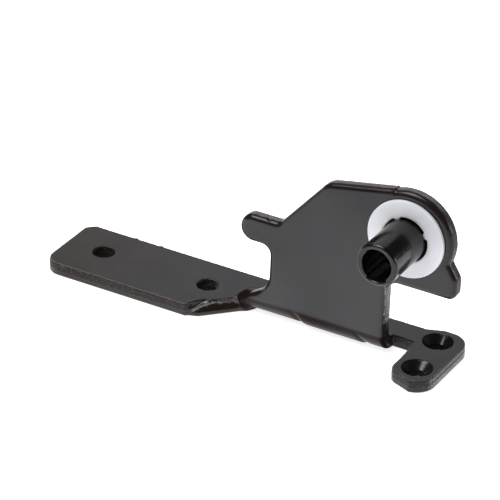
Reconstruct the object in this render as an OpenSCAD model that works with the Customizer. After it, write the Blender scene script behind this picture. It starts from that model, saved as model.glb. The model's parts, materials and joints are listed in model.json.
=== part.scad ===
// Pivot bracket for a sash or door leaf: one bent steel pressing that carries
// a hollow pivot pin with a toothed nylon thrust washer on it.
// Millimetres, +Z up. The origin is on the pivot axis, where the eye of the
// other leaf ends, a running gap in front of the washer. The pin stands out
// towards -Y, the long tongue runs towards -X and the short foot towards +X.

/* [Sheet] */
// Thickness of the steel strip
sheet_t = 4; // [3:0.1:5]
// Inside radius of the bend between the base and the upright plate
bend_r = 3; // [2:0.1:4]
// Height of the pivot axis above the mounting face
axis_h = 40.7; // [33:0.1:60]
// Furthest reach of the base behind the upright plate's front face
base_depth = 15; // [12:0.1:22]

/* [Upright plate] */
// Radius of the round head about the pivot axis
head_r = 13.9; // [12.5:0.1:17]
// From the pivot axis to the plate's left edge
plate_left = 43.4; // [36:0.1:60]
// From the pivot axis to the upright wall of the slot
slot_wall = 5.8; // [4:0.1:8]
// From the pivot axis down to the top of the slot
slot_drop = 15.9; // [14:0.1:19]
// Corner radius inside the slot
slot_r = 3.7; // [1:0.1:5]
// From the pivot axis to the tip of the tail over the slot
tail_reach = 15.75; // [14.5:0.05:20]
// Rise of the tail's end above the slot, before it slants in to the head
tail_h = 6.4; // [4:0.1:8]
// Left end of the top edge above the pivot axis
shoulder_h = 9.3; // [7:0.1:11.5]
// From the pivot axis to the corner between the top edge and the slanted edge
shoulder_x = 25.9; // [22:0.1:31]
// Right end of the top edge, from the pivot axis
ridge_x = 5; // [4:0.1:7]

/* [Finger] */
// Height of the finger's underside above the mounting face
finger_h = 24.4; // [22:0.1:29]
// Width of the finger
finger_w = 8.3; // [6:0.1:10]
// Reach of the finger past the plate's left edge
finger_reach = 9.9; // [8:0.1:14]

/* [Tongue] */
// From the pivot axis to the tongue's end
tongue_reach = 113.2; // [100:0.1:150]
// Reach of the tongue in front of the upright plate
tongue_front = 10.5; // [8:0.1:14]
// Radius of the front corner at the tongue's end
tongue_r = 5; // [1:0.1:7]
// Chamfer of the rear corner at the tongue's end
tongue_cut = 2.4; // [1:0.1:5]
// Diameter of the two holes in the tongue
tongue_hole_d = 6.7; // [4:0.1:9]
// Distance between the two holes
tongue_pitch = 35.8; // [25:0.1:43]
// From the tongue's end to the first hole
tongue_hole_in = 12.6; // [9:0.1:16]
// From the plate's left edge to the root of the slanted cut
cut_root = 9.2; // [8:0.1:14]
// Length of the slanted cut along the tongue
cut_run = 12; // [9:0.1:15]

/* [Foot] */
// Width of the foot
foot_w = 12.8; // [11.5:0.1:18]
// From the pivot axis to the middle of the foot
foot_x = 8.05; // [7.5:0.05:14]
// Reach of the foot in front of the upright plate
foot_front = 12.7; // [11:0.1:16]
// Reach of the foot past the rear edge of the base
foot_rear = 2; // [0:0.1:4]
// Diameter of the screw holes in the foot
screw_d = 4.5; // [3:0.1:5.5]
// Diameter of the countersinks, on the top face
sink_d = 9.2; // [7:0.1:11]
// Front screw hole in front of the upright plate
screw_front = 5.5; // [4:0.1:8]
// Rear screw hole behind the upright plate's front face
screw_rear = 10.4; // [8:0.1:14]

/* [Pivot pin] */
// Outside diameter of the journal
pin_d = 12.7; // [11:0.1:16]
// Length of the pin in front of the upright plate
pin_len = 18.35; // [14:0.05:30]
// Diameter of the bore through the pin
pin_bore_d = 9; // [7:0.1:9.6]
// Diameter across the two key recesses in the mouth
key_d = 10.6; // [8.2:0.1:11]
// Depth of the key recesses
key_depth = 12; // [6:0.1:13]
// Angle that each key recess spans
key_span = 74; // [40:1:100]
// Direction of the first key recess, up from +X
key_turn = 94; // [0:1:180]
// Diameter of the shank staked in the plate
shank_d = 11; // [10.4:0.1:12]
// Diameter of the staked collar behind the plate
stake_d = 13.2; // [12:0.1:16]
// Thickness of the staked collar
stake_t = 0.9; // [0.5:0.1:2]

/* [Thrust washer] */
// Outside diameter of the washer
washer_d = 23.6; // [20:0.1:26]
// Thickness of the washer
washer_t = 1.2; // [0.8:0.05:2]
// Radial gap between the washer's hole and the journal
washer_gap = 0.6; // [0.1:0.05:0.9]
// Number of teeth inside the washer
teeth = 4; // [3:1:6]
// Width of a tooth at its tip
tooth_w = 1.2; // [0.8:0.1:2]
// Width of a tooth at its root
tooth_root_w = 2.4; // [1.2:0.1:4]
// Direction of the first tooth, up from +X
tooth_turn = 25; // [0:1:90]

/* [Fits] */
// Running clearance between a tooth and the groove, on the radius
run_gap = 0.05; // [0.02:0.01:0.1]
// Gap on each side of the washer, to the plate and to the other leaf's eye
side_gap = 0.05; // [0.03:0.01:0.2]
// Depth of the washer's groove in the journal
groove = 0.25; // [0.15:0.01:0.5]

/* [Hidden] */
steel_black = "#3a3a3c";
nylon_white = "#ececf0";

bend_out = bend_r + sheet_t;
plate_y = washer_t + 2 * side_gap;
slot_top = axis_h - slot_drop;

// Roundings of the upright plate's corners
shoulder_r = 6;
crook_r = 2.5;
nook_r = 3;
finger_r = finger_w / 2 - 0.05;
// Where the slanted edge meets the finger's top, right of the plate's left edge
finger_root = 2.7;
// Step up from the head's arc to the top edge, left by the second die
ridge_step = 0.4;
ridge_r = 0.2;
// Inner end of the tail's slanted edge: in from the head's side, below the axis
tuck_x = 2.4;
tuck_z = 2.8;
// Root of the left edge: a wide fillet, then a slant down to the tongue's top
root_r = 8;
root_slope = tan(30);
root_run = cut_root + 1;
root_low = sheet_t + 0.4;

// The slanted cut between the tongue and the bend
cut_x = -(plate_left + cut_root);
cut_in = 2;
cut_r = 4;
cut_flare = 1.4;
cut_nose_r = 0.8;
hole_y = (base_depth - tongue_front) / 2 + 0.65;
end_r = 1.2;

foot_left = foot_x - foot_w / 2;
foot_right = foot_x + foot_w / 2;
foot_r = 6;
toe_r = 3.5;
// The blunt trim across the toe: its corner right of the middle, and its rises
trim_x = 1.25;
trim_r = 0.4;
trim_left = 3;
trim_right = 1.1;
// Where the foot's rear edge slants in to the base strip
heel_x = 2.4;
heel_run = 0.8;
// Web between the foot and the base strip, with a small die relief in it
web = 0.65;
web_h = 3.4;
web_r = 0.5;
relief_in = 1.9;
relief_r = 0.45;
// Sideways offsets of the two countersunk holes from the foot's middle
rear_shift = -1.3;
front_shift = 0.2;

journal_r = pin_d / 2;
groove_r = journal_r - groove;
pin_bore_r = pin_bore_d / 2;
mouth_r = 0.6;
bore_edge = 0.5;
stake_edge = 0.4;
mouth_y = plate_y - pin_len;
// The groove takes the teeth, and starts just behind the end of the other eye
groove_y = 0.4 * side_gap;
tooth_root = 0.3;
tooth_tip_r = groove_r + run_gap;
washer_hole_r = journal_r + washer_gap;

// Degrees from one point of a rounded corner to the next
arc_step = 7.5;
// Segments of a true round surface
round_fn = 96;
// How far cutters pass through what they cut
over = 1;
// How far solids that join reach into each other
lap = 0.01;

function unit(v) = v / norm(v);
// Points of the arc that rounds corner b between neighbours a and c
function arc_at(a, b, c, r) =
    let (u = unit(a - b), v = unit(c - b), half = acos(u * v) / 2)
    let (turn = 180 - 2 * half, far = r / sin(half), mid = b + far * unit(u + v))
    let (start = b + u * r / tan(half) - mid, side = sign(u.x * v.y - u.y * v.x))
    let (n = max(1, ceil(turn / arc_step)))
    [for (i = [0:n]) let (t = -side * turn * i / n)
        mid + [start.x * cos(t) - start.y * sin(t), start.x * sin(t) + start.y * cos(t)]];
// Outline through corners [x, y, radius], each rounded by its own radius
function rounded(p) =
    let (n = len(p))
    [for (i = [0:n - 1])
        let (a = p[(i + n - 1) % n], b = p[i], c = p[(i + 1) % n])
        each b[2] == 0 ? [[b.x, b.y]] :
            arc_at([a.x, a.y], [b.x, b.y], [c.x, c.y], b[2])];

// Front view of the upright plate and bend: X across, Z above the mounting face
module plate_outline() {
    root_x = -plate_left - root_run;
    root_z = root_low + root_run * root_slope;
    ridge_z = axis_h + sqrt(head_r * head_r - ridge_x * ridge_x) + ridge_step;
    finger_x = -plate_left - finger_reach;
    finger_top = finger_h + finger_w;
    polygon(rounded([
        [-slot_wall, 0, 0],
        [-slot_wall, slot_top, slot_r],
        [tail_reach, slot_top, crook_r],
        [tail_reach, slot_top + tail_h, nook_r],
        [head_r - tuck_x, axis_h - tuck_z, 0],
        [-ridge_x, axis_h, 0],
        [-ridge_x, ridge_z, ridge_r],
        [-shoulder_x, axis_h + shoulder_h, shoulder_r],
        [finger_root - plate_left, finger_top, crook_r],
        [finger_x, finger_top, finger_r],
        [finger_x, finger_h, finger_r],
        [-plate_left, finger_h, nook_r],
        [-plate_left, root_z, root_r],
        [root_x, root_low, 0],
        [root_x, 0, 0]
    ]));
    translate([0, axis_h]) circle(r = head_r, $fn = round_fn);
}

// Side view of the bent strip: Y across, Z above the mounting face
module strip_section() {
    difference() {
        translate([bend_out, bend_out]) circle(r = bend_out, $fn = round_fn);
        translate([bend_out, bend_out]) circle(r = bend_r, $fn = round_fn);
        translate([bend_out, -over]) square([bend_out + over, 2 * (bend_out + over)]);
        translate([-over, bend_out]) square([2 * bend_out, bend_out + over]);
    }
    translate([bend_out - lap, 0]) square([over, sheet_t]);
    translate([0, bend_out - lap]) square([sheet_t, axis_h + 2 * head_r]);
}

// Top view of the base: X across, Y behind the plate's front face
module base_outline() {
    polygon(rounded([
        [-tongue_reach, -tongue_front, tongue_r],
        [cut_x - cut_run, -tongue_front, cut_nose_r],
        [cut_x, cut_in, cut_r],
        [cut_x + cut_flare, bend_out, 0],
        [foot_left - web, bend_out, web_r],
        [foot_left - web, bend_out - web_h, web_r],
        [foot_left, bend_out - 2 * web_h, web_r],
        [foot_left, trim_left - foot_front, toe_r],
        [foot_x + trim_x, -foot_front, trim_r],
        [foot_right, trim_right - foot_front, foot_r],
        [foot_right, base_depth + foot_rear, foot_r],
        [foot_x - heel_x, base_depth + foot_rear, nook_r],
        [foot_left - heel_run, base_depth, nook_r],
        [tongue_cut - tongue_reach, base_depth, end_r],
        [-tongue_reach, base_depth - tongue_cut, end_r]
    ]));
}

// Cuts through the sheet of the base
module base_hole(x, y, r) {
    translate([x, y, -over]) cylinder(r = r, h = sheet_t + 2 * over, $fn = round_fn);
}

module screw_hole(x, y) {
    sink_h = (sink_d - screw_d) / 2;
    base_hole(x, y, screw_d / 2);
    translate([x, y, sheet_t - sink_h])
        cylinder(d1 = screw_d, d2 = sink_d, h = sink_h, $fn = round_fn);
    translate([x, y, sheet_t - lap]) cylinder(d = sink_d, h = over, $fn = round_fn);
}

// The bracket: tongue, base strip, foot, bend and upright plate in one pressing
module bracket() {
    color(steel_black)
    translate([0, plate_y, -axis_h])
    difference() {
        union() {
            linear_extrude(sheet_t) base_outline();
            intersection() {
                translate([-tongue_reach, 0, 0]) rotate([90, 0, 90])
                    linear_extrude(tongue_reach + 2 * tail_reach) strip_section();
                translate([0, base_depth, 0]) rotate([90, 0, 0])
                    linear_extrude(base_depth + over) plate_outline();
            }
        }
        for (x = [tongue_hole_in, tongue_hole_in + tongue_pitch])
            base_hole(x - tongue_reach, hole_y, tongue_hole_d / 2);
        screw_hole(foot_x + rear_shift, screw_rear);
        screw_hole(foot_x + front_shift, -screw_front);
        base_hole(foot_left - web, bend_out - relief_in, relief_r);
        translate([0, sheet_t + over, axis_h]) rotate([90, 0, 0])
            cylinder(d = shank_d, h = sheet_t + 2 * over, $fn = round_fn);
    }
}

// Both key recesses, as sectors that reach out to the recess diameter
module key_sectors() {
    half = key_span / 2;
    for (turn = [key_turn, key_turn + 180])
        rotate(turn) intersection() {
            circle(d = key_d, $fn = round_fn);
            polygon(key_d * [[0, 0], [cos(half), -sin(half)], [1, 0], [cos(half), sin(half)]]);
        }
}

// The hollow pin, turned about the pivot axis, then broached at its mouth
module pivot_pin() {
    shank_r = shank_d / 2;
    stake_r = stake_d / 2;
    back = -plate_y - sheet_t;
    color(steel_black)
    difference() {
        rotate([90, 0, 0]) rotate_extrude($fn = round_fn) polygon(rounded([
            [pin_bore_r, back - stake_t, bore_edge],
            [stake_r, back - stake_t, stake_edge],
            [stake_r, back, 0],
            [shank_r, back, 0],
            [shank_r, -plate_y, 0],
            [groove_r, -plate_y, 0],
            [groove_r, -groove_y, 0],
            [journal_r, -groove_y, 0],
            [journal_r, -mouth_y, mouth_r],
            [pin_bore_r, -mouth_y, bore_edge]
        ]));
        translate([0, mouth_y + key_depth, 0]) rotate([90, 0, 0])
            linear_extrude(key_depth + over) key_sectors();
    }
}

// A disc across the washer, from its outer face back
module washer_disc(r, back, front) {
    translate([0, back, 0]) rotate([90, 0, 0]) cylinder(r = r, h = back - front, $fn = round_fn);
}

// The nylon washer: a flat ring whose teeth run in the journal's groove
module thrust_washer() {
    back = side_gap + washer_t;
    root = washer_hole_r + tooth_root;
    color(nylon_white) {
        difference() {
            washer_disc(washer_d / 2, back, side_gap);
            washer_disc(washer_hole_r, back + over, -over);
        }
        for (i = [0:teeth - 1])
            rotate([0, -tooth_turn - 360 * i / teeth, 0]) difference() {
                translate([0, back, 0]) rotate([90, 0, 0]) linear_extrude(washer_t) polygon([
                    [groove_r, -tooth_w / 2], [root, -tooth_root_w / 2],
                    [root, tooth_root_w / 2], [groove_r, tooth_w / 2]
                ]);
                washer_disc(tooth_tip_r, back + over, -over);
            }
    }
}

bracket();
pivot_pin();
thrust_washer();
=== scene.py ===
"""A pivot bracket: a bent steel pressing with a hollow pivot pin and a nylon thrust washer.

Shapes are worked out in millimetres and turned to metres when a mesh is made.
"""
import json
import math

import bpy
import numpy as np
from mathutils import Matrix, Vector, noise


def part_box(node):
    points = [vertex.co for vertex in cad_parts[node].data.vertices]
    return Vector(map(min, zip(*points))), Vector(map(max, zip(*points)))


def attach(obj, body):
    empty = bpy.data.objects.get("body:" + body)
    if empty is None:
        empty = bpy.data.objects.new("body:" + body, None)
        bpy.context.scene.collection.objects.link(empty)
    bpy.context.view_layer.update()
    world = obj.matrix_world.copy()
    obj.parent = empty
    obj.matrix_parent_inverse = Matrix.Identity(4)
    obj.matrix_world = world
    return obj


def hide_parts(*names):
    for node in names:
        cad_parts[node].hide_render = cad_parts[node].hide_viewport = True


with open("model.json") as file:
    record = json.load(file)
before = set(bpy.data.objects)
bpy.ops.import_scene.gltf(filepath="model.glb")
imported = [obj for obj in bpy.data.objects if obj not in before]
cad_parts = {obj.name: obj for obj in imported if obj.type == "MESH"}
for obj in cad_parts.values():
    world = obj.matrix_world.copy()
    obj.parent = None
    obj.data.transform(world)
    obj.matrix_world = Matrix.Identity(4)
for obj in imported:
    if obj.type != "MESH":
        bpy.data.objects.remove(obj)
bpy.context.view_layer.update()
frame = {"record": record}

MM = 0.001

# The CAD frame: the pivot axis is Y through the origin, and +Z is up.
bracket_low, bracket_high = (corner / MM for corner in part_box("bracket"))
pin_low, pin_high = (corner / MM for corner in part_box("pivot_pin"))
washer_low, washer_high = (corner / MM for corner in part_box("thrust_washer"))
mounts = {mount["name"]: mount for mount in frame["record"]["mounts"]}


def mount_place(name):
    """A mount's place in the frame, in millimetres."""
    return Vector(mounts[name]["pos_m"]) / MM


def mount_radius(name):
    dims = mounts[name]["dims"]
    return dims.get("r_mm", dims.get("hole_r_mm"))


# The steel sheet and its bend
SIDE_GAP = washer_low.y
PLATE_Y = washer_high.y + SIDE_GAP
AXIS_H = -bracket_low.z
SHEET = 4.0
BEND_R = 3.0
BEND_OUT = BEND_R + SHEET
BASE_DEPTH = 15.0
HEAD_R = bracket_high.z
PLATE_LEFT = 43.4
SLOT_WALL = 5.8
SLOT_TOP = AXIS_H - 15.9
SLOT_R = 3.7
TAIL_REACH = bracket_high.x
TAIL_TOP = SLOT_TOP + 6.4
SHOULDER_X = 25.9
SHOULDER_TOP = AXIS_H + 9.3
FINGER_TIP = -PLATE_LEFT - 9.9
FINGER_LOW = 24.4
FINGER_HIGH = 32.7
FINGER_R = 4.1
TONGUE_REACH = -bracket_low.x
TONGUE_FRONT = 10.5
TONGUE_R = 5.0
TONGUE_CUT = 2.4
CUT_X = -(PLATE_LEFT + 9.2)
CUT_RUN = 12.0
FOOT_X = 8.05
FOOT_W = 12.8
FOOT_LEFT = FOOT_X - FOOT_W / 2
FOOT_RIGHT = FOOT_X + FOOT_W / 2
FOOT_FRONT = PLATE_Y - bracket_low.y
FOOT_REAR = bracket_high.y - PLATE_Y - BASE_DEPTH
FOOT_R = 6.0
WEB = 0.65
SINK_H = 2.35

# The tongue's holes: their rolled-in rim, and how they narrow from one height to another
HOLE_ROLL = 0.4
HOLE_TAPER = 0.35
TAPER_TOP_Z = 3.0
TAPER_LOW_Z = 0.5

# The hole in the plate, where the pin's shank is staked
SHANK_R = 5.5

# How far the upright runs on into the base, past the bend
UPRIGHT_RUN_ON = 1.5

# The ridge at the right end of the top edge, and the small rib that stands up on it
RIDGE_X = 5.0
RIDGE_RISE = 0.4
RIB_X = -RIDGE_X - 0.15
RIB_HIGH = 0.22
RIB_W = 0.35
RIB_LOW_END = AXIS_H + 10
RIB_FULL = AXIS_H + 12

# A nick in the finger's top edge
NICK_X = -PLATE_LEFT - 0.9
NICK_Y = 1.2
NICK_Z = 33.0
NICK_R = 0.75

# The pivot pin and the washer
GROOVE = 0.25
KEY_R = 5.3
KEY_DEEP = 12.0
KEY_SPAN = 74.0
KEY_TURN = 94.0
RUN_GAP = 0.05
WASHER_GAP = 0.6
TOOTH_TURN = 25.0
TOOTH_TIP = 1.2
TOOTH_ROOT = 2.4
TOOTH_EASE = 0.15
WASHER_RIM = 0.35
MOUTH_R = 0.45
KEY_EASE = 1.5
PIN_TURNS = 240
WASHER_TURNS = 360

# A blanked edge, from the punch side (front and underside) to the die side (back and top):
# the edge rolls in, then a smooth burnished band, then a torn band that ends in a burr
PLATE_ROLL = (1.9, 1.5)
BASE_ROLL = (0.8, 0.4)
BEND_ROLL_LOSS = 0.6
BURR_R = 0.25
BURNISH = 0.3
BREAKOUT = math.tan(math.radians(2.5))
LAND = 0.08

# Where the tongue was torn free of the bend. The tear fades out at its ends and behind the
# bend. It starts deep in the sheet along its middle, and higher up at its two ends.
TEAR_LEFT = CUT_X - CUT_RUN
TEAR_RIGHT = CUT_X + 1.6
TEAR_LEFT_FADE = 1.2
TEAR_RIGHT_FADE = 2.5
TEAR_FULL_Y = 5.0
TEAR_END_Y = 9.0
TEAR_LEVEL = -1.0
TEAR_LEFT_PEAK = TEAR_LEFT + 1.5
TEAR_LEFT_W = 1.8
TEAR_LEFT_RISE = 1.5
TEAR_RIGHT_W = 1.6
TEAR_RIGHT_RISE = 0.9
TEAR_DEEP = 0.35
TEAR_LIP = 0.1
TEAR_RUN = 0.35
TEAR_RUN_GAIN = 0.6
TEAR_BULGE = 1.3
BULGE_EASE = 4.0
BULGE_FULL_Z = 1.2
BULGE_END_Z = 3.2
SCOOP_X = TEAR_LEFT + 3
SCOOP_W = 2.2
SCOOP_DEEP = 1.0

# The root, where the torn edge runs up into the bend: its middle, spread and fillet
ROOT_MIDDLE = (CUT_X + 2, 2, 2)
ROOT_SPREAD = (5, 5, 4)
ROOT_FILLET = 4.5

# Press marks across the bend, and the swelling between them. What is special to the bend is
# full at this height and depth, and is gone where the bend meets the flat sheet.
BEND_FULL_Z = 3.0
BEND_FULL_Y = 4.0
MARK_LEFT = -33.3
MARK_RIGHT = -12.6
MARK_W = 0.9
MARK_LEAN = -0.45
MARK_OUTSIDE = 0.8
MARK_INSIDE = 1.2
SWELL = 0.35
DENT = 0.4
DENT_FULL_Z = 4.0

# The fractured band of a blanked edge. Each pair is what every edge has, and what a tear adds.
LINE_WANDER = 0.22
LINE_WAVE = 2.2
PULL_ALONG = 0.7
PULL_ACROSS = 1.6
PULL_DEEP = (0.04, 0.16)
CRUMB = 0.5
CRUMB_DEEP = (0.02, 0.14)
LIP_W = 0.16
LIP_WAVE = 0.8
LIP_HIGH = (0.02, 0.22)
LIP_GAPS = (-0.3, 0.5)
LINE_W = 0.2
FRACTURE_EASE = 0.15

# The plate's fracture fades out down towards the root, between these two heights
FRACTURE_LOW_END = 6.0
FRACTURE_FULL = 11.0

# Keeps the pattern on the base's edge apart from the pattern on the plate's
BASE_APART = 40.0

# How far in from an outline its edge's finish reaches, and with it the painted shade on the rolled
# edges; the plate's rolled front is wider
RIM_START = 0.5
RIM_FULL = 0.22
FRONT_RIM_START = 0.8
FRONT_RIM_FULL = 0.2
HOLE_RIM = 0.25
HEAD_RIM = 0.7

# Painted shade over the bend, a darker and less glossy film: how many degrees round the bend it starts,
# and its fade. It starts later at the left, and it also covers the root's own edge.
BEND_SHADE_START = 1.5
BEND_SHADE_LATER = 4.0
BEND_SHADE_LATER_X = (-34, -47)
BEND_SHADE_FADE = 11.0
ROOT_SHADE_X = (-48.5, -50.5)
ROOT_SHADE_Z = (12, 9)

# Where a highlight is painted as silvery specks on right-facing edges: up the slot's wall between two
# heights, and in two bands (height, width) along the foot's side. Each wall is caught within a small
# distance of it.
SLOT_HIGHLIGHT_FROM = 10.0
SLOT_HIGHLIGHT_FULL = 12.0
SLOT_HIGHLIGHT_FADE = 3.0
SLOT_WALL_NEAR = (0.5, 0.3)
FOOT_HIGHLIGHT_BANDS = ((3.1, 0.5), (1.3, 0.55))
FOOT_WALL_NEAR = (0.6, 0.4)

# Burrs and nicks along the base's top edges: x, y behind the plate's front, height
BURRS = [(-96.4, 15.0, 0.35), (-87.6, 15.0, 0.3), (-101.6, -10.5, 0.2), (-94.2, -10.5, 0.22),
         (-79.7, -10.5, -0.3), (-64.0, -8.6, 0.2)]
BURR_W = 0.5
BURR_SPREAD = 0.7

# The mesh's cell, and how far its grid is shifted off the sheet's flat faces, in cells
CELL = 0.34
GRID_SHIFT = 1.37

# Blender's noise rarely passes 0.6
NOISE_GAIN = 1.6

# The camera stands to the front right, a little rolled, and aims at the plate's lower left
CAMERA_PLACE = Vector((347.6, PLATE_Y - 723.63, 449.11))
CAMERA_AIM = Vector((-49.58, PLATE_Y, -19.05))
CAMERA_ROLL = 1.978
CAMERA_LENS = 238.13

# Grey patches of painted shade lie just below the base's underside, under its holes, and the paper just
# below them
SHADE_PATCH_DROP = 0.02
SHADE_PATCH_R = 4.6
SHADE_PATCH_SIDES = 48
FLOOR_DROP = 0.05
FLOOR_HALF = 3000


# ---- outlines -------------------------------------------------------------------------

def rounded(corners, arc=math.radians(6)):
    """The points of an outline whose corners [x, y, radius] are rounded, with a point every arc."""
    points = []
    count = len(corners)
    for i, (x, y, radius) in enumerate(corners):
        corner = Vector((x, y))
        before = (Vector(corners[i - 1][:2]) - corner).normalized()
        after = (Vector(corners[(i + 1) % count][:2]) - corner).normalized()
        if radius == 0:
            points.append(corner)
            continue
        half = before.angle(after) / 2
        turn = math.pi - 2 * half
        middle = corner + (before + after).normalized() * (radius / math.sin(half))
        start = corner + before * (radius / math.tan(half)) - middle
        side = -math.copysign(1, before.cross(after))
        pieces = max(1, math.ceil(turn / arc))
        for k in range(pieces + 1):
            points.append(middle + Matrix.Rotation(side * turn * k / pieces, 2) @ start)
    return np.array([tuple(p) for p in points])


def outline_field(outline, u, v):
    """Signed distance to a closed outline (below 0 inside) and the length along it."""
    nearest = np.full(u.shape, 1e9)
    along = np.zeros(u.shape)
    crossings = np.zeros(u.shape, bool)
    travelled = 0.0
    for (ax, ay), (bx, by) in zip(outline, np.roll(outline, -1, axis=0)):
        ex, ey = bx - ax, by - ay
        span = math.hypot(ex, ey)
        if span == 0:
            continue
        t = np.clip(((u - ax) * ex + (v - ay) * ey) / span ** 2, 0, 1)
        gap = (u - ax - t * ex) ** 2 + (v - ay - t * ey) ** 2
        closer = gap < nearest
        nearest = np.where(closer, gap, nearest)
        along = np.where(closer, travelled + t * span, along)
        if ey != 0:
            crosses = ((ay > v) != (by > v)) & (u < ax + (v - ay) * ex / ey)
            crossings ^= crosses
        travelled += span
    return np.where(crossings, -1, 1) * np.sqrt(nearest), along


class Chart:
    """An outline's distance and length fields, kept on a fine grid and read between its points."""

    def __init__(self, outline, low, high, cell=0.12):
        axes = [np.arange(a - 1, b + 1, cell) for a, b in zip(low, high)]
        self.cell = cell
        self.low = np.array([axes[0][0], axes[1][0]])
        u, v = np.meshgrid(*axes, indexing="ij")
        self.distance, self.along = outline_field(outline, u, v)

    def read(self, u, v, values=None):
        """The distance at some places, or another field of the same chart."""
        values = self.distance if values is None else values
        i = np.clip((u - self.low[0]) / self.cell, 0, values.shape[0] - 1.001)
        j = np.clip((v - self.low[1]) / self.cell, 0, values.shape[1] - 1.001)
        i0, j0 = i.astype(int), j.astype(int)
        di, dj = i - i0, j - j0
        near = values[i0, j0] * (1 - di) + values[i0 + 1, j0] * di
        far = values[i0, j0 + 1] * (1 - di) + values[i0 + 1, j0 + 1] * di
        return near * (1 - dj) + far * dj


def plate_outline():
    """Front view of the upright plate and bend: X across, Z above the mounting face."""
    root_run = -CUT_X - PLATE_LEFT + 1
    root_x = -PLATE_LEFT - root_run
    root_low = SHEET + 0.4
    root_z = root_low + root_run * math.tan(math.radians(30))
    ridge_z = AXIS_H + math.sqrt(HEAD_R ** 2 - RIDGE_X ** 2) + RIDGE_RISE
    return rounded([
        [-SLOT_WALL, -4, 0],
        [-SLOT_WALL, SLOT_TOP, SLOT_R],
        [TAIL_REACH, SLOT_TOP, 2.5],
        [TAIL_REACH, TAIL_TOP, 3],
        [HEAD_R - 2.4, AXIS_H - 2.8, 0],
        [-RIDGE_X, AXIS_H, 0],
        [-RIDGE_X, ridge_z, 0.2],
        [-SHOULDER_X, SHOULDER_TOP, 6],
        [2.7 - PLATE_LEFT, FINGER_HIGH, 2.5],
        [FINGER_TIP, FINGER_HIGH, FINGER_R],
        [FINGER_TIP, FINGER_LOW, FINGER_R],
        [-PLATE_LEFT, FINGER_LOW, 3],
        [-PLATE_LEFT, root_z, 8],
        [root_x, root_low, 0],
        [root_x, -4, 0],
    ])


def base_outline():
    """Top view of the base: X across, Y behind the plate's front face."""
    return rounded([
        [-TONGUE_REACH, -TONGUE_FRONT, TONGUE_R],
        [CUT_X - CUT_RUN, -TONGUE_FRONT, 0.8],
        [CUT_X, 2, 4],
        [CUT_X + 1.4, BEND_OUT, 0],
        [FOOT_LEFT - WEB, BEND_OUT, 0.5],
        [FOOT_LEFT - WEB, BEND_OUT - 3.4, 0.5],
        [FOOT_LEFT, BEND_OUT - 6.8, 0.5],
        [FOOT_LEFT, 3 - FOOT_FRONT, 3.5],
        [FOOT_X + 1.25, -FOOT_FRONT, 0.4],
        [FOOT_RIGHT, 1.1 - FOOT_FRONT, FOOT_R],
        [FOOT_RIGHT, BASE_DEPTH + FOOT_REAR, FOOT_R],
        [FOOT_X - 2.4, BASE_DEPTH + FOOT_REAR, 3],
        [FOOT_LEFT - 0.8, BASE_DEPTH, 3],
        [TONGUE_CUT - TONGUE_REACH, BASE_DEPTH, 1.2],
        [-TONGUE_REACH, BASE_DEPTH - TONGUE_CUT, 1.2],
    ])


# ---- solids as fields: below 0 inside, above 0 outside -----------------------------------

def step(low, high, value):
    """0 below low, 1 above high, smooth between them."""
    t = np.clip((value - low) / (high - low), 0, 1)
    return t * t * (3 - 2 * t)


def bump(value, middle, width):
    """1 at the middle, falling away over about that width on each side."""
    return np.exp(-((value - middle) / width) ** 2)


def tear(x, y):
    """How much a place on the base's edge lies on the torn cut beside the bend."""
    left = step(TEAR_LEFT, TEAR_LEFT + TEAR_LEFT_FADE, x)
    right = step(TEAR_RIGHT + TEAR_RIGHT_FADE, TEAR_RIGHT, x)
    return left * right * step(TEAR_END_Y, TEAR_FULL_Y, y)


def fracture_level(x, torn):
    """Where through the sheet the burnished band ends and the fracture starts."""
    left, right = bump(x, TEAR_LEFT_PEAK, TEAR_LEFT_W), bump(x, TEAR_RIGHT, TEAR_RIGHT_W)
    level = TEAR_LEVEL + TEAR_LEFT_RISE * left + TEAR_RIGHT_RISE * right
    return BURNISH + (level - BURNISH) * torn


def blanked(edge, across, roll, swell=0.0, torn_level=BURNISH, torn_deep=0.0):
    """A sheet with a blanked edge: edge is the distance past its outline, across the place
    through its thickness, from -SHEET / 2 at the back to SHEET / 2 at the front. roll is
    how far the front edge rolls in, along the sheet and through it."""
    half = SHEET / 2
    roll_in, roll_deep = roll
    below = torn_level - across
    torn = torn_deep * step(-TEAR_LIP, TEAR_RUN + TEAR_RUN_GAIN * torn_deep, below)
    edge = edge - LAND + np.maximum(0, below) * BREAKOUT + torn
    front, back = across - half - swell, -across - half
    body = np.maximum(edge, np.maximum(front, back))
    u, v = np.maximum(edge + roll_in, 0) / roll_in, np.maximum(front + roll_deep, 0) / roll_deep
    body = np.where((u > 0) & (v > 0), (np.hypot(u, v) - 1) * roll_deep, body)
    u, v = np.maximum(edge + BURR_R, 0), np.maximum(back + BURR_R, 0)
    burr = np.hypot(u, v) - BURR_R
    return np.where((u > 0) & (v > 0), burr, body)


def across_bend(y, z):
    """The place through the sheet of the upright plate and its bend."""
    half = SHEET / 2
    bend = np.hypot(y - BEND_OUT, z - BEND_OUT) - (BEND_R + half)
    upright, flat = half - y, half - z
    inner = np.maximum(upright, flat)
    straight = np.where(z >= BEND_OUT, np.where(y >= BEND_OUT, inner, upright), flat)
    return np.where((y < BEND_OUT) & (z < BEND_OUT), bend, straight)


def smooth_join(a, b, width):
    """The nearer of two fields, with a fillet of about that width where they meet."""
    width = np.maximum(width, 1e-6)
    share = np.maximum(width - np.abs(a - b), 0) / width
    return np.minimum(a, b) - share ** 2 * width / 4


def hole(x, y, place, radius):
    """Distance inside a round hole of the base."""
    return radius - np.hypot(x - place.x, y - (place.y - PLATE_Y))


plate_chart = Chart(plate_outline(), (-55, -2), (TAIL_REACH, AXIS_H + HEAD_R))
base_chart = Chart(base_outline(), (-TONGUE_REACH, -FOOT_FRONT), (FOOT_RIGHT, BASE_DEPTH + FOOT_REAR))


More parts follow.
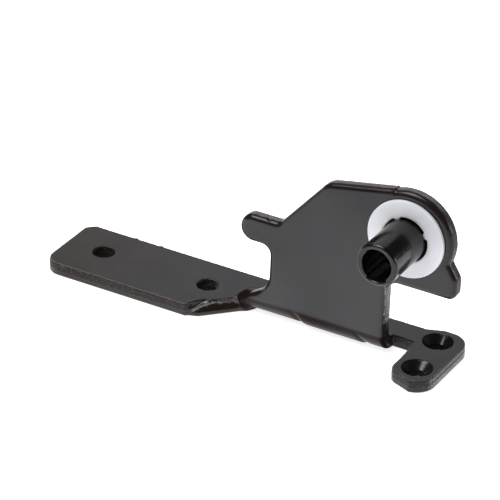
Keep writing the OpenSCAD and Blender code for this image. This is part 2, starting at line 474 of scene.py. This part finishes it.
def plate_edge(x, z):
    """Distance past the upright plate's outline, its round head included."""
    from_axis = np.hypot(x, z - AXIS_H)
    edge = np.minimum(plate_chart.read(x, z), from_axis - HEAD_R)
    rib = RIB_HIGH * bump(x, RIB_X, RIB_W) * step(RIB_LOW_END, RIB_FULL, z)
    return np.maximum(edge - rib, SHANK_R - from_axis)


def bend_swell(x, y, z):
    """How far the outside of the bend stands proud: swollen between two dented press marks."""
    swollen = (step(MARK_LEFT - MARK_OUTSIDE, MARK_LEFT + MARK_INSIDE, x)
               * step(MARK_RIGHT + MARK_OUTSIDE, MARK_RIGHT - MARK_INSIDE, x))
    low = step(BEND_OUT + 0.5, BEND_FULL_Z, z) * step(BEND_OUT, BEND_FULL_Y, y)
    lean = MARK_LEAN * (z - SHEET / 2)
    dents = bump(x, MARK_LEFT + lean, MARK_W) + bump(x, MARK_RIGHT + lean, MARK_W)
    return low * (SWELL * swollen - DENT * dents * step(BEND_OUT, DENT_FULL_Z, z))


def tongue_hole_places():
    first = mount_place("tongue_holes")
    half = Vector((mounts["tongue_holes"]["dims"]["spacing_x_mm"] / 2, 0, 0))
    return [first - half, first + half]


def upright_edge(x, y, z):
    """Distance past the outline of the upright plate and its bend."""
    return np.maximum(plate_edge(x, z), y - BEND_OUT - UPRIGHT_RUN_ON)


def finger_nick(x, y, z):
    """Distance into a nick on the finger's top edge."""
    return NICK_R - np.sqrt((x - NICK_X) ** 2 + (y - NICK_Y) ** 2 + (z - NICK_Z) ** 2)


def bracket_field(x, y, z):
    """Distance past the whole pressing's surface, below 0 inside the steel."""
    roll = [size * (1 - BEND_ROLL_LOSS * step(BEND_OUT, BEND_FULL_Z, z)) for size in PLATE_ROLL]
    upright = blanked(upright_edge(x, y, z), across_bend(y, z), roll, bend_swell(x, y, z))
    upright = np.maximum(upright, finger_nick(x, y, z))
    torn = tear(x, y)
    bulge = torn * step(TEAR_LEFT, TEAR_LEFT + BULGE_EASE, x) * step(BULGE_END_Z, BULGE_FULL_Z, z)
    torn_deep = (TEAR_DEEP + SCOOP_DEEP * bump(x, SCOOP_X, SCOOP_W)) * torn
    base = blanked(base_chart.read(x, y) - TEAR_BULGE * bulge, SHEET / 2 - z, BASE_ROLL, 0,
                   fracture_level(x, torn), torn_deep)
    root = math.prod(bump(*at) for at in zip((x, y, z), ROOT_MIDDLE, ROOT_SPREAD))
    body = smooth_join(upright, base, ROOT_FILLET * root)
    narrowed = mount_radius("tongue_holes") - HOLE_TAPER * step(TAPER_TOP_Z, TAPER_LOW_Z, z)
    for place in tongue_hole_places():
        bore = hole(x, y, place, narrowed)
        body = -smooth_join(-body, -bore, HOLE_ROLL)
    for name in ("foot_screw_rear", "foot_screw_front"):
        bore = hole(x, y, mount_place(name), mount_radius(name))
        rise = SHEET - SINK_H - z
        sink = np.minimum((bore - rise) / math.sqrt(2), SHEET + 1 - z)
        body = np.maximum(body, np.maximum(bore, sink))
    return body


# ---- from field to mesh -------------------------------------------------------------------

def slope(field, points, reach=0.02):
    """The field at some points, and its gradient there."""
    value = field(*points.T)
    steps = np.eye(3) * reach
    gradient = np.stack([(field(*(points + s).T) - field(*(points - s).T)) for s in steps], 1)
    return value, gradient / (2 * reach)


def surface(field, low, high, cell):
    """Points and four-sided faces on the field's zero surface, about a cell apart."""
    axes = [np.arange(a - GRID_SHIFT * cell, b + 2 * cell, cell) for a, b in zip(low, high)]
    grid = np.empty([len(a) for a in axes], np.float32)
    for i, x in enumerate(axes[0]):
        y, z = np.meshgrid(axes[1], axes[2], indexing="ij")
        grid[i] = field(np.full(y.shape, x), y, z)
    corner = np.array([a[0] for a in axes])
    crossings = []
    for axis in range(3):
        here = [slice(None)] * 3
        there = [slice(None)] * 3
        here[axis], there[axis] = slice(0, -1), slice(1, None)
        a, b = grid[tuple(here)], grid[tuple(there)]
        flips = (a < 0) != (b < 0)
        index = np.argwhere(flips)
        t = a[flips] / (a[flips] - b[flips])
        place = index.astype(float)
        place[:, axis] += t
        crossings.append((axis, index, place, a[flips] < 0))
    owners, places, quads = [], [], []
    for axis, index, place, leaving in crossings:
        u, v = (axis + 1) % 3, (axis + 2) % 3
        ring = []
        for du, dv in ((0, 0), (-1, 0), (-1, -1), (0, -1)):
            cells = index.copy()
            cells[:, u] += du
            cells[:, v] += dv
            ring.append(np.ravel_multi_index(cells.T, grid.shape))
            places.append(place)
        quad = np.stack(ring, 1)
        owners += ring
        quad[~leaving] = quad[~leaving][:, ::-1]
        quads.append(quad)
    owners, places, quads = np.concatenate(owners), np.concatenate(places), np.concatenate(quads)
    cells, slot = np.unique(owners, return_inverse=True)
    count = np.bincount(slot)
    points = np.stack([np.bincount(slot, places[:, k]) / count for k in range(3)], 1)
    points = corner + points * cell
    for _ in range(4):
        value, gradient = slope(field, points)
        length = np.maximum((gradient ** 2).sum(1), 0.2)
        points = points - np.clip(value / length, -cell, cell)[:, None] * gradient
    faces = np.searchsorted(cells, quads)
    return points, faces


def mesh_piece(name, points, faces, shift=(0, 0, 0)):
    """An object made of points in millimetres, moved by shift into the frame."""
    mesh = bpy.data.meshes.new(name)
    moved = (np.asarray(points) + np.asarray(shift)) * MM
    mesh.from_pydata(moved.tolist(), [], faces if isinstance(faces, list) else faces.tolist())
    mesh.polygons.foreach_set("use_smooth", [True] * len(mesh.polygons))
    mesh.update()
    piece = bpy.data.objects.new(name, mesh)
    bpy.context.scene.collection.objects.link(piece)
    return piece


def point_values(piece, name, values):
    """Keeps one number for each point of a piece, for its material to read."""
    kept = piece.data.attributes.new(name, "FLOAT", "POINT")
    kept.data.foreach_set("value", np.asarray(values, np.float32))


def grain(points, size):
    """Smooth noise from about -1 to 1 at some points, with features of about that size."""
    return np.array([noise.noise(Vector(p)) for p in points / size]) * NOISE_GAIN


def normals_of(points, faces):
    """Unit normals at points that are shared by four-sided faces."""
    across = points[faces[:, 2]] - points[faces[:, 0]]
    along = points[faces[:, 3]] - points[faces[:, 1]]
    each = np.cross(across, along)
    total = np.zeros(points.shape)
    for k in range(4):
        np.add.at(total, faces[:, k], each)
    return total / np.maximum(np.linalg.norm(total, axis=1), 1e-9)[:, None]


def edge_places(x, y, z):
    """For places on the bracket: how far through the sheet, how far along the outline,
    how much each is on a blanked edge and not on a face, and whether it is on the base."""
    upright = blanked(upright_edge(x, y, z), across_bend(y, z), PLATE_ROLL)
    from_base = base_chart.read(x, y)
    on_base = blanked(from_base, SHEET / 2 - z, BASE_ROLL) < upright
    across = np.where(on_base, SHEET / 2 - z, across_bend(y, z))
    turned = np.arctan2(z - AXIS_H, x) * HEAD_R
    near_head = np.abs(np.hypot(x, z - AXIS_H) - HEAD_R) < HEAD_RIM
    plate_along = np.where(near_head, turned, plate_chart.read(x, z, plate_chart.along))
    along = np.where(on_base, base_chart.read(x, y, base_chart.along), plate_along)
    front = step(0, 1, across)
    rim = step(-RIM_START - FRONT_RIM_START * front, -RIM_FULL - FRONT_RIM_FULL * front,
               plate_edge(x, z))
    holes = [hole(x, y, place, mount_radius("tongue_holes")) for place in tongue_hole_places()]
    flat_edge = np.maximum(from_base, np.maximum(*holes) - HOLE_RIM)
    wall = np.where(on_base, step(-RIM_START, -RIM_FULL, flat_edge), rim)
    return across, along, wall, on_base


def with_tear(amounts, torn):
    """An amount on a plain edge, and the more of it that a tear adds."""
    plain, more = amounts
    return plain + more * torn


def painted_bend_shade(x, y, z, wall):
    """How much shade is painted as a darker, less glossy film: over the bend, and on the root's edge
    beside it.
    """
    below = np.degrees(np.arctan2(BEND_OUT - z, np.maximum(BEND_OUT - y, 0.01)))
    start = BEND_SHADE_START + BEND_SHADE_LATER * step(*BEND_SHADE_LATER_X, x)
    outside = step(BEND_R + 2, BEND_R + 3, np.hypot(y - BEND_OUT, z - BEND_OUT))
    root = step(*ROOT_SHADE_X, x) * step(*ROOT_SHADE_Z, z) * wall
    return np.maximum(step(start, start + BEND_SHADE_FADE, below) * outside, root)


def side_highlight_mask(x, z, wall):
    """How much highlight is painted on the edge: up the slot's wall, and in two bands on the foot."""
    slot_side = step(*SLOT_WALL_NEAR, np.abs(x + SLOT_WALL)) * step(SLOT_HIGHLIGHT_FROM, SLOT_HIGHLIGHT_FULL, z)
    slot_side = slot_side * step(SLOT_TOP, SLOT_TOP - SLOT_HIGHLIGHT_FADE, z)
    bands = sum(bump(z, height, width) for height, width in FOOT_HIGHLIGHT_BANDS)
    foot_side = step(*FOOT_WALL_NEAR, np.abs(x - FOOT_RIGHT)) * bands
    return np.maximum(slot_side, foot_side) * wall


def roughen(points, faces):
    """Tears the bracket's fractured bands, and gives each point its place on the edge."""
    x, y, z = points.T
    across, along, wall, on_base = edge_places(x, y, z)
    apart = on_base * BASE_APART
    torn = tear(x, y) * on_base
    edge_line = np.stack([along, 0 * along, apart], 1)
    level = fracture_level(x, torn) + LINE_WANDER * grain(edge_line, LINE_WAVE)
    fracture = wall * step(-FRACTURE_EASE, FRACTURE_EASE, level - across)
    fracture = fracture * np.where(on_base, 1, step(FRACTURE_LOW_END, FRACTURE_FULL, z))
    pull = np.stack([along / PULL_ALONG, across / PULL_ACROSS, apart], 1)
    pits = grain(pull, 1) * with_tear(PULL_DEEP, torn)
    pits = pits + grain(points, CRUMB) * with_tear(CRUMB_DEEP, torn)
    lip = wall * bump(across, level, LIP_W)
    lip = lip * with_tear(LIP_HIGH, torn * step(*LIP_GAPS, grain(edge_line, LIP_WAVE)))
    points = points + normals_of(points, faces) * (fracture * pits + lip)[:, None]
    for at_x, at_y, height in BURRS:
        near = np.exp(-((x - at_x) ** 2 + (y - at_y) ** 2 + (z - SHEET) ** 2) / BURR_W ** 2)
        outward = np.stack([0 * near, math.copysign(1, at_y) * near, near], 1)
        points = points + outward * height * BURR_SPREAD
    line = bump(across, level, LINE_W) * wall
    # Painted light for the material: shade over the bend and the root's edge, and a highlight on the
    # slot's wall and the foot's side
    dull = painted_bend_shade(x, y, z, wall) * ~on_base
    return points, wall, fracture, line, torn * wall, dull, side_highlight_mask(x, z, wall), along, across


EDGE_VALUES = ("wall", "fracture", "line", "torn", "bend", "side_highlight", "along", "across")


def make_bracket():
    low = (-TONGUE_REACH, -FOOT_FRONT, 0)
    high = (TAIL_REACH, BASE_DEPTH + FOOT_REAR, AXIS_H + HEAD_R)
    points, faces = surface(bracket_field, low, high, CELL)
    points, *values = roughen(points, faces)
    piece = mesh_piece("bracket_pressing", points, faces, (0, PLATE_Y, -AXIS_H))
    for name, value in zip(EDGE_VALUES, values):
        point_values(piece, name, value)
    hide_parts("bracket")
    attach(piece, "bracket_body")
    return piece


def lathe(name, profile, radius_at, turns):
    """A closed ring turned about the pivot axis. The profile is a closed list of points
    (radius, y); radius_at(k, angles) may change point k's radius round the turn."""
    angles = np.arange(turns) * 2 * math.pi / turns
    rings = []
    for k, (radius, y) in enumerate(profile):
        radii = radius_at(k, angles) + 0 * angles
        rings.append(np.stack([radii * np.cos(angles), y + 0 * angles, radii * np.sin(angles)], 1))
    points = np.concatenate(rings)
    faces = []
    for k in range(len(profile)):
        a, b = k * turns, (k + 1) % len(profile) * turns
        for j in range(turns):
            i = (j + 1) % turns
            faces.append([a + j, a + i, b + i, b + j])
    return mesh_piece(name, points, faces)


def filled(profile, longest):
    """A closed profile with points added until none of its steps is longer than asked."""
    points = []
    for start, end in zip(profile, np.roll(profile, -1, axis=0)):
        pieces = max(1, math.ceil(np.linalg.norm(end - start) / longest))
        points += [start + (end - start) * k / pieces for k in range(pieces)]
    return np.array(points)


def make_pin():
    """The hollow pin: its mouth is broached with two key recesses."""
    journal, bore = mount_radius("pivot_pin"), mount_radius("pin_bore")
    stake, back, mouth = pin_high.x, pin_high.y, pin_low.y
    plate_back = PLATE_Y + SHEET
    floor_y = mouth + KEY_DEEP
    groove_front = 0.4 * SIDE_GAP
    key_step = 0.02
    profile = rounded([
        [bore, back, 0.5],
        [stake, back, 0.45],
        [stake, plate_back, 0.05],
        [SHANK_R, plate_back, 0],
        [SHANK_R, PLATE_Y, 0],
        [journal - GROOVE, PLATE_Y, 0],
        [journal - GROOVE, groove_front, 0],
        [journal, groove_front, 0.1],
        [journal, mouth, 0.75],
        [bore, mouth, MOUTH_R],
        [bore, floor_y - key_step, 0],
        [bore, floor_y + key_step, 0],
    ])
    profile = filled(profile, 0.8)
    inner = (profile[:, 0] < bore + MOUTH_R) & (profile[:, 1] < floor_y)

    def radius_at(k, angles):
        """The key recesses, cut into the bore as far as their floor."""
        radius = profile[k, 0]
        if not inner[k]:
            return radius
        turn = np.degrees(angles) - KEY_TURN
        away = np.abs((turn + 90) % 180 - 90)
        key = step(KEY_SPAN / 2 + KEY_EASE, KEY_SPAN / 2 - KEY_EASE, away)
        ease = np.clip(1 - (radius - bore) / MOUTH_R, 0, 1)
        return radius + key * ease * (KEY_R - bore)

    piece = lathe("pivot_pin_turned", profile, radius_at, PIN_TURNS)
    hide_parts("pivot_pin")
    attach(piece, "bracket_body")
    return piece


def make_washer():
    """The moulded washer: a flat ring with four small teeth that centre it on the pin."""
    outer, front, back = washer_high.x, washer_low.y, washer_high.y
    journal = mount_radius("pivot_pin")
    inner = journal + WASHER_GAP
    tip = journal - GROOVE + RUN_GAP
    profile = filled(rounded([
        [inner, front, 0.16],
        [inner, back, 0.1],
        [outer, back, 0.2],
        [outer, front, 0.2],
    ], math.radians(15)), 0.6)
    near_hole = profile[:, 0] < inner + WASHER_RIM

    def radius_at(k, angles):
        """The four teeth, a quarter turn apart."""
        if not near_hole[k]:
            return profile[k, 0]
        turn = np.degrees(angles) - TOOTH_TURN
        away = np.radians(np.abs((turn + 45) % 90 - 45)) * inner
        tooth = step(TOOTH_ROOT / 2 + TOOTH_EASE, TOOTH_TIP / 2 - TOOTH_EASE, away)
        reach = np.clip(1 - (profile[k, 0] - inner) / WASHER_RIM, 0, 1)
        return profile[k, 0] - tooth * reach * (inner - tip)

    piece = lathe("thrust_washer_moulded", profile, radius_at, WASHER_TURNS)
    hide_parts("thrust_washer")
    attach(piece, "washer_body")
    return piece


# ---- camera -------------------------------------------------------------------------------

def make_camera():
    """The camera looks down on the bracket from the front right, through a long lens."""
    camera = bpy.data.objects.new("camera", bpy.data.cameras.new("camera"))
    look = (CAMERA_AIM - CAMERA_PLACE).to_track_quat("-Z", "Y").to_matrix().to_4x4()
    roll = Matrix.Rotation(math.radians(CAMERA_ROLL), 4, "Z")
    camera.matrix_world = Matrix.Translation(CAMERA_PLACE * MM) @ look @ roll
    camera.data.sensor_width = 36
    camera.data.lens = CAMERA_LENS
    camera.data.clip_end = 20
    bpy.context.scene.collection.objects.link(camera)
    bpy.context.scene.camera = camera


# ---- materials ----------------------------------------------------------------------------

def colour(code):
    """An sRGB hex colour as linear light."""
    parts = [int(code[k:k + 2], 16) / 255 for k in (1, 3, 5)]
    light = [c / 12.92 if c <= 0.04045 else ((c + 0.055) / 1.055) ** 2.4 for c in parts]
    return (*light, 1.0)


def add(tree, kind, inputs, output=0, **fields):
    """Adds a node and gives back one of its outputs. fields are the node's own options;
    inputs are values for its sockets, or outputs of other nodes to link to them."""
    node = tree.nodes.new(kind)
    for name, value in fields.items():
        setattr(node, name, value)
    for name, value in inputs.items():
        if isinstance(value, bpy.types.NodeSocket):
            tree.links.new(value, node.inputs[name])
        else:
            node.inputs[name].default_value = value
    return node.outputs[output]


def new_finish(name):
    """An empty material's tree and its Principled shader's sockets."""
    material = bpy.data.materials.new(name)
    material.use_nodes = True
    return material, material.node_tree, material.node_tree.nodes["Principled BSDF"].inputs


def coated_pressing():
    """Black cathodic electrocoat on pressed steel: a thin, even, half-gloss film that
    shows the sheet under it. It lies smooth on the faces. Over the bend and the rolled
    edges it is painted darker brown and less glossy, as painted shade; on the blanked walls
    that brown is partly the film's own. On the torn bands it is grainy, paler where they
    face up and along the torn cut, and it thins on the burrs, where pale specks stand for
    uncoated steel and its painted glints. Silvery specks on the slot's wall and the foot's
    side are a painted highlight."""
    material, tree, shader = new_finish("electrocoated_pressed_steel")
    place = add(tree, "ShaderNodeTexCoord", {}, "Object")
    # Two of these carry painted light: the shade over the bend and the root's edge, and the silvery
    # highlight on the slot's wall and the foot's side
    wall, fracture, line, torn, bend, side_highlight, along, across = [
        add(tree, "ShaderNodeAttribute", {}, "Fac", attribute_name=name) for name in EDGE_VALUES]

    # Film thickness drifts over about 14 mm; crumbs of the fracture are 0.45 mm, twice real size
    drift = add(tree, "ShaderNodeTexNoise", {"Vector": place, "Scale": 1 / (14 * MM), "Detail": 2})
    drift = add(tree, "ShaderNodeMapRange", {"Value": drift, "From Min": 0.42, "From Max": 0.6})
    crumbs = add(tree, "ShaderNodeTexNoise", {"Vector": place, "Scale": 1 / (0.45 * MM), "Detail": 3,
                                              "Roughness": 0.6})
    film = add(tree, "ShaderNodeMix", {0: drift, 6: colour("#15161b"), 7: colour("#1b191c")}, 2,
               data_type="RGBA")
    reach = add(tree, "ShaderNodeSeparateXYZ", {"Vector": place}, "X")
    tip = add(tree, "ShaderNodeMapRange", {"Value": reach, "From Min": -TONGUE_REACH * MM,
                                           "From Max": -70 * MM, "To Min": 1, "To Max": 0})
    film = add(tree, "ShaderNodeMix", {0: tip, 6: film, 7: colour("#271c1b")}, 2, data_type="RGBA")
    # Painted shade: darker brown over the bend and the rolled edges; on the blanked walls it is partly
    # the film's own brown
    brown_wall_and_shade = add(tree, "ShaderNodeMath", {0: wall, 1: bend}, operation="MAXIMUM")
    film = add(tree, "ShaderNodeMix", {0: brown_wall_and_shade, 6: film, 7: colour("#1e1614")}, 2, data_type="RGBA")
    grey = add(tree, "ShaderNodeMapRange", {"Value": crumbs, "From Min": 0.4, "From Max": 0.7,
                                            "To Min": 0.3, "To Max": 1.0})
    grey = add(tree, "ShaderNodeMath", {0: grey, 1: fracture}, operation="MULTIPLY")
    facing = add(tree, "ShaderNodeNewGeometry", {}, "Normal")
    facing = add(tree, "ShaderNodeSeparateXYZ", {"Vector": facing}, "Z")
    # The fracture is paler where it faces up, and along the torn cut
    paleness = add(tree, "ShaderNodeMapRange", {"Value": facing, "From Min": 0.6, "From Max": 0.95})
    paleness = add(tree, "ShaderNodeMath", {0: torn, 1: 0.5, 2: paleness}, operation="MULTIPLY_ADD",
                use_clamp=True)
    pale_grain_tone = add(tree, "ShaderNodeMix", {0: paleness, 6: colour("#292322"), 7: colour("#858180")}, 2,
               data_type="RGBA")
    film = add(tree, "ShaderNodeMix", {0: grey, 6: film, 7: pale_grain_tone}, 2, data_type="RGBA")
    # Pale specks where the film thins: partly uncoated steel, partly painted glints
    glint = add(tree, "ShaderNodeTexNoise", {"Vector": place, "Scale": 1 / (0.3 * MM), "Detail": 2})
    glint = add(tree, "ShaderNodeMapRange", {"Value": glint, "From Min": 0.6, "From Max": 0.68})
    uncoated_steel_and_glint = add(tree, "ShaderNodeMath", {0: line, 1: torn}, operation="MULTIPLY")
    thin = add(tree, "ShaderNodeMath", {0: fracture, 1: 0.22}, operation="MULTIPLY")
    uncoated_steel_and_glint = add(tree, "ShaderNodeMath", {0: uncoated_steel_and_glint, 1: thin}, operation="MAXIMUM")
    uncoated_steel_and_glint = add(tree, "ShaderNodeMath", {0: uncoated_steel_and_glint, 1: glint}, operation="MULTIPLY")
    film = add(tree, "ShaderNodeMix", {0: uncoated_steel_and_glint, 6: film, 7: colour("#b9b2b4")}, 2, data_type="RGBA")
    # Painted highlight: silvery specks on the slot's wall and the foot's side, standing for the side
    # light on these right-facing edges
    highlight_specks = add(tree, "ShaderNodeMapRange", {"Value": crumbs, "From Min": 0.42, "From Max": 0.6})
    highlight_specks = add(tree, "ShaderNodeMath", {0: highlight_specks, 1: side_highlight}, operation="MULTIPLY")
    film = add(tree, "ShaderNodeMix", {0: highlight_specks, 6: film, 7: colour("#94939b")}, 2, data_type="RGBA")
    tree.links.new(film, shader["Base Color"])

    # The wet film ran down the upright, so it is glossier low down
    height = add(tree, "ShaderNodeSeparateXYZ", {"Vector": place}, "Z")
    run = add(tree, "ShaderNodeMapRange", {"Value": height, "From Min": -AXIS_H * MM,
                                           "From Max": HEAD_R * MM, "To Min": 0.46, "To Max": 0.36})
    cloud = add(tree, "ShaderNodeTexNoise", {"Vector": place, "Scale": 1 / (22 * MM), "Detail": 1})
    gloss = add(tree, "ShaderNodeMath", {0: cloud, 1: 0.22, 2: -0.11}, operation="MULTIPLY_ADD")
    gloss = add(tree, "ShaderNodeMath", {0: gloss, 1: run}, operation="ADD")
    gloss = add(tree, "ShaderNodeMath", {0: wall, 1: -0.1, 2: gloss}, operation="MULTIPLY_ADD")
    gloss = add(tree, "ShaderNodeMath", {0: fracture, 1: -0.14, 2: gloss}, operation="MULTIPLY_ADD")
    # The painted shade over the bend also takes most of its gloss
    gloss = add(tree, "ShaderNodeMath", {0: bend, 1: -0.39, 2: gloss}, operation="MULTIPLY_ADD")
    tree.links.new(gloss, shader["Specular IOR Level"])
    sheen = add(tree, "ShaderNodeTexNoise", {"Vector": place, "Scale": 1 / (5 * MM), "Detail": 3})
    sheen = add(tree, "ShaderNodeMapRange", {"Value": sheen, "From Min": 0.3, "From Max": 0.7,
                                             "To Min": 0.2, "To Max": 0.26})
    dull = add(tree, "ShaderNodeMapRange", {"Value": crumbs, "From Min": 0.4, "From Max": 0.6,
                                            "To Min": 0.12, "To Max": 0.3})
    dull = add(tree, "ShaderNodeMath", {0: dull, 1: fracture, 2: sheen}, operation="MULTIPLY_ADD")
    dull = add(tree, "ShaderNodeMath", {0: tip, 1: 0.14, 2: dull}, operation="MULTIPLY_ADD")
    tree.links.new(dull, shader["Roughness"])

    # The punch drags fine streaks across the edge, 0.35 mm apart
    along = add(tree, "ShaderNodeMath", {0: along, 1: MM}, operation="MULTIPLY")
    across = add(tree, "ShaderNodeMath", {0: across, 1: 0.12 * MM}, operation="MULTIPLY")
    edge_place = add(tree, "ShaderNodeCombineXYZ", {"X": along, "Y": across})
    streaks = add(tree, "ShaderNodeTexNoise", {"Vector": edge_place, "Scale": 1 / (0.35 * MM),
                                               "Detail": 2})
    streaks = add(tree, "ShaderNodeMath", {0: streaks, 1: wall}, operation="MULTIPLY")
    pores = add(tree, "ShaderNodeMath", {0: crumbs, 1: fracture}, operation="MULTIPLY")
    peel = add(tree, "ShaderNodeTexNoise", {"Vector": place, "Scale": 1 / (0.9 * MM), "Detail": 2})
    relief = add(tree, "ShaderNodeBump", {"Strength": 0.08, "Distance": 0.06 * MM, "Height": peel})
    relief = add(tree, "ShaderNodeBump", {"Strength": 0.5, "Distance": 0.08 * MM, "Height": streaks,
                                        "Normal": relief})
    relief = add(tree, "ShaderNodeBump", {"Strength": 0.9, "Distance": 0.18 * MM, "Height": pores,
                                        "Normal": relief})
    tree.links.new(relief, shader["Normal"])
    return material


def coated_turning():
    """The same black film on a turned pin: glossier, because the steel under it is finer,
    with faint rings left by the tool."""
    material, tree, shader = new_finish("electrocoated_turned_steel")
    place = add(tree, "ShaderNodeTexCoord", {}, "Object")
    drift = add(tree, "ShaderNodeTexNoise", {"Vector": place, "Scale": 1 / (4 * MM), "Detail": 2})
    film = add(tree, "ShaderNodeMix", {0: drift, 6: colour("#080708"), 7: colour("#100d0d")}, 2,
               data_type="RGBA")
    tree.links.new(film, shader["Base Color"])
    sheen = add(tree, "ShaderNodeTexNoise", {"Vector": place, "Scale": 1 / (1.5 * MM), "Detail": 3})
    sheen = add(tree, "ShaderNodeMapRange", {"Value": sheen, "From Min": 0.3, "From Max": 0.7,
                                             "To Min": 0.15, "To Max": 0.23})
    tree.links.new(sheen, shader["Roughness"])
    shader["Specular IOR Level"].default_value = 0.4
    rings = add(tree, "ShaderNodeTexWave", {"Vector": place, "Scale": 1 / (3.5 * MM),
                                            "Distortion": 0.6, "Detail": 1}, "Fac", bands_direction="Y")
    peel = add(tree, "ShaderNodeTexNoise", {"Vector": place, "Scale": 1 / (0.8 * MM), "Detail": 2})
    relief = add(tree, "ShaderNodeBump", {"Strength": 0.05, "Distance": 0.03 * MM, "Height": rings})
    relief = add(tree, "ShaderNodeBump", {"Strength": 0.1, "Distance": 0.06 * MM, "Height": peel,
                                        "Normal": relief})
    tree.links.new(relief, shader["Normal"])
    return material


def moulded_nylon():
    """Natural nylon 6, injection moulded: milky white and slightly translucent, with a
    fine dull skin, and rusty brown grime worked into the rim of its hole."""
    material, tree, shader = new_finish("natural_moulded_nylon")
    place = add(tree, "ShaderNodeTexCoord", {}, "Object")
    flat = add(tree, "ShaderNodeVectorMath", {0: place, 1: (1, 0, 1)}, operation="MULTIPLY")
    from_axis = add(tree, "ShaderNodeVectorMath", {0: flat}, "Value", operation="LENGTH")
    inner = (mount_radius("pivot_pin") + WASHER_GAP) * MM
    rim = add(tree, "ShaderNodeMapRange", {"Value": from_axis, "From Min": inner,
                                           "From Max": inner + 1.1 * MM, "To Min": 1, "To Max": 0})
    rim = add(tree, "ShaderNodeMath", {0: rim, 1: 1.6}, operation="POWER")
    smears = add(tree, "ShaderNodeTexNoise", {"Vector": place, "Scale": 1 / (2.6 * MM), "Detail": 3})
    smears = add(tree, "ShaderNodeMapRange", {"Value": smears, "From Min": 0.42, "From Max": 0.68})
    grime = add(tree, "ShaderNodeMath", {0: rim, 1: smears}, operation="MULTIPLY")
    drift = add(tree, "ShaderNodeTexNoise", {"Vector": place, "Scale": 1 / (6 * MM), "Detail": 2})
    body = add(tree, "ShaderNodeMix", {0: drift, 6: colour("#e2e3e8"), 7: colour("#d6d7dd")}, 2,
               data_type="RGBA")
    body = add(tree, "ShaderNodeMix", {0: grime, 6: body, 7: colour("#a98763")}, 2, data_type="RGBA")
    tree.links.new(body, shader["Base Color"])
    sheen = add(tree, "ShaderNodeTexNoise", {"Vector": place, "Scale": 1 / (0.8 * MM), "Detail": 3})
    sheen = add(tree, "ShaderNodeMapRange", {"Value": sheen, "From Min": 0.3, "From Max": 0.7,
                                             "To Min": 0.38, "To Max": 0.5})
    tree.links.new(sheen, shader["Roughness"])
    shader["IOR"].default_value = 1.53
    shader["Subsurface Weight"].default_value = 0.25
    shader["Subsurface Radius"].default_value = (1.0, 0.9, 0.85)
    shader["Subsurface Scale"].default_value = 0.8 * MM
    grains = add(tree, "ShaderNodeTexNoise", {"Vector": place, "Scale": 1 / (0.35 * MM), "Detail": 2})
    relief = add(tree, "ShaderNodeBump", {"Strength": 0.12, "Distance": 0.05 * MM, "Height": grains})
    tree.links.new(relief, shader["Normal"])
    return material


def studio_paper():
    """Matte white seamless paper, lit through from below as on a light table."""
    material, _, shader = new_finish("studio_paper")
    shader["Base Color"].default_value = colour("#f4f4f4")
    shader["Roughness"].default_value = 0.9
    shader["Specular IOR Level"].default_value = 0.2
    shader["Emission Color"].default_value = colour("#ffffff")
    shader["Emission Strength"].default_value = 0.85
    return material


def hole_shade_grey():
    """A matte grey that stands for the shadow down the holes: painted shade."""
    material, _, shader = new_finish("hole_shade_grey")
    shader["Base Color"].default_value = colour("#8a8683")
    shader["Roughness"].default_value = 1
    return material


# ---- studio -------------------------------------------------------------------------------

def make_floor():
    corners = [(x * FLOOR_HALF, y * FLOOR_HALF, 0) for x, y in ((-1, -1), (1, -1), (1, 1), (-1, 1))]
    floor = mesh_piece("floor", corners, [[0, 1, 2, 3]], (0, 0, -AXIS_H - FLOOR_DROP))
    floor.data.materials.append(studio_paper())


def make_hole_shade_patches():
    """Thin grey patches of painted shade under the tongue's and foot's holes, so that no white shows
    through.
    """
    shade_grey = hole_shade_grey()
    places = tongue_hole_places() + [mount_place("foot_screw_rear"), mount_place("foot_screw_front")]
    turns = [2 * math.pi * k / SHADE_PATCH_SIDES for k in range(SHADE_PATCH_SIDES)]
    corners = [(SHADE_PATCH_R * math.cos(turn), SHADE_PATCH_R * math.sin(turn), 0) for turn in turns]
    for number, place in enumerate(places, 1):
        shade_patch = mesh_piece(f"hole_shade_patch_{number}", corners, [list(range(SHADE_PATCH_SIDES))],
                         (place.x, place.y, -AXIS_H - SHADE_PATCH_DROP))
        shade_patch.data.materials.append(shade_grey)


def make_surroundings(strength):
    world = bpy.data.worlds.new("studio")
    bpy.context.scene.world = world
    world.use_nodes = True
    world.node_tree.nodes["Background"].inputs["Color"].default_value = (1, 1, 1, 1)
    world.node_tree.nodes["Background"].inputs["Strength"].default_value = strength


def softbox(name, place, aim, size, power):
    """A rectangular light; places and sizes are in metres."""
    light = bpy.data.lights.new(name, "AREA")
    light.shape = "RECTANGLE"
    light.size, light.size_y = size
    light.energy = power
    box = bpy.data.objects.new(name, light)
    box.location = place
    box.rotation_euler = (Vector(aim) - Vector(place)).to_track_quat("-Z", "Y").to_euler()
    bpy.context.scene.collection.objects.link(box)


# ---- the scene ----------------------------------------------------------------------------

make_camera()
make_floor()
make_hole_shade_patches()
make_surroundings(0.06)

# The overhead box gives the rolled edges their bright line, the backdrop shows in the tongue
# and the top edges, and the side box draws the foot's side and the slot's wall
softbox("overhead", (-0.45, -0.4, 1.25), (-0.02, 0, 0), (0.8, 1.0), 22)
softbox("backdrop", (-0.67, 1.22, 0.79), (0, 0, 0), (1.4, 1.0), 3.1)
softbox("side", (0.95, 0.6, 0.2), (0, 0, 0), (0.5, 0.3), 3.5)

bracket = make_bracket()
bracket.data.materials.append(coated_pressing())
pin = make_pin()
pin.data.materials.append(coated_turning())
washer = make_washer()
washer.data.materials.append(moulded_nylon())

bpy.context.scene.view_settings.view_transform = "Standard"
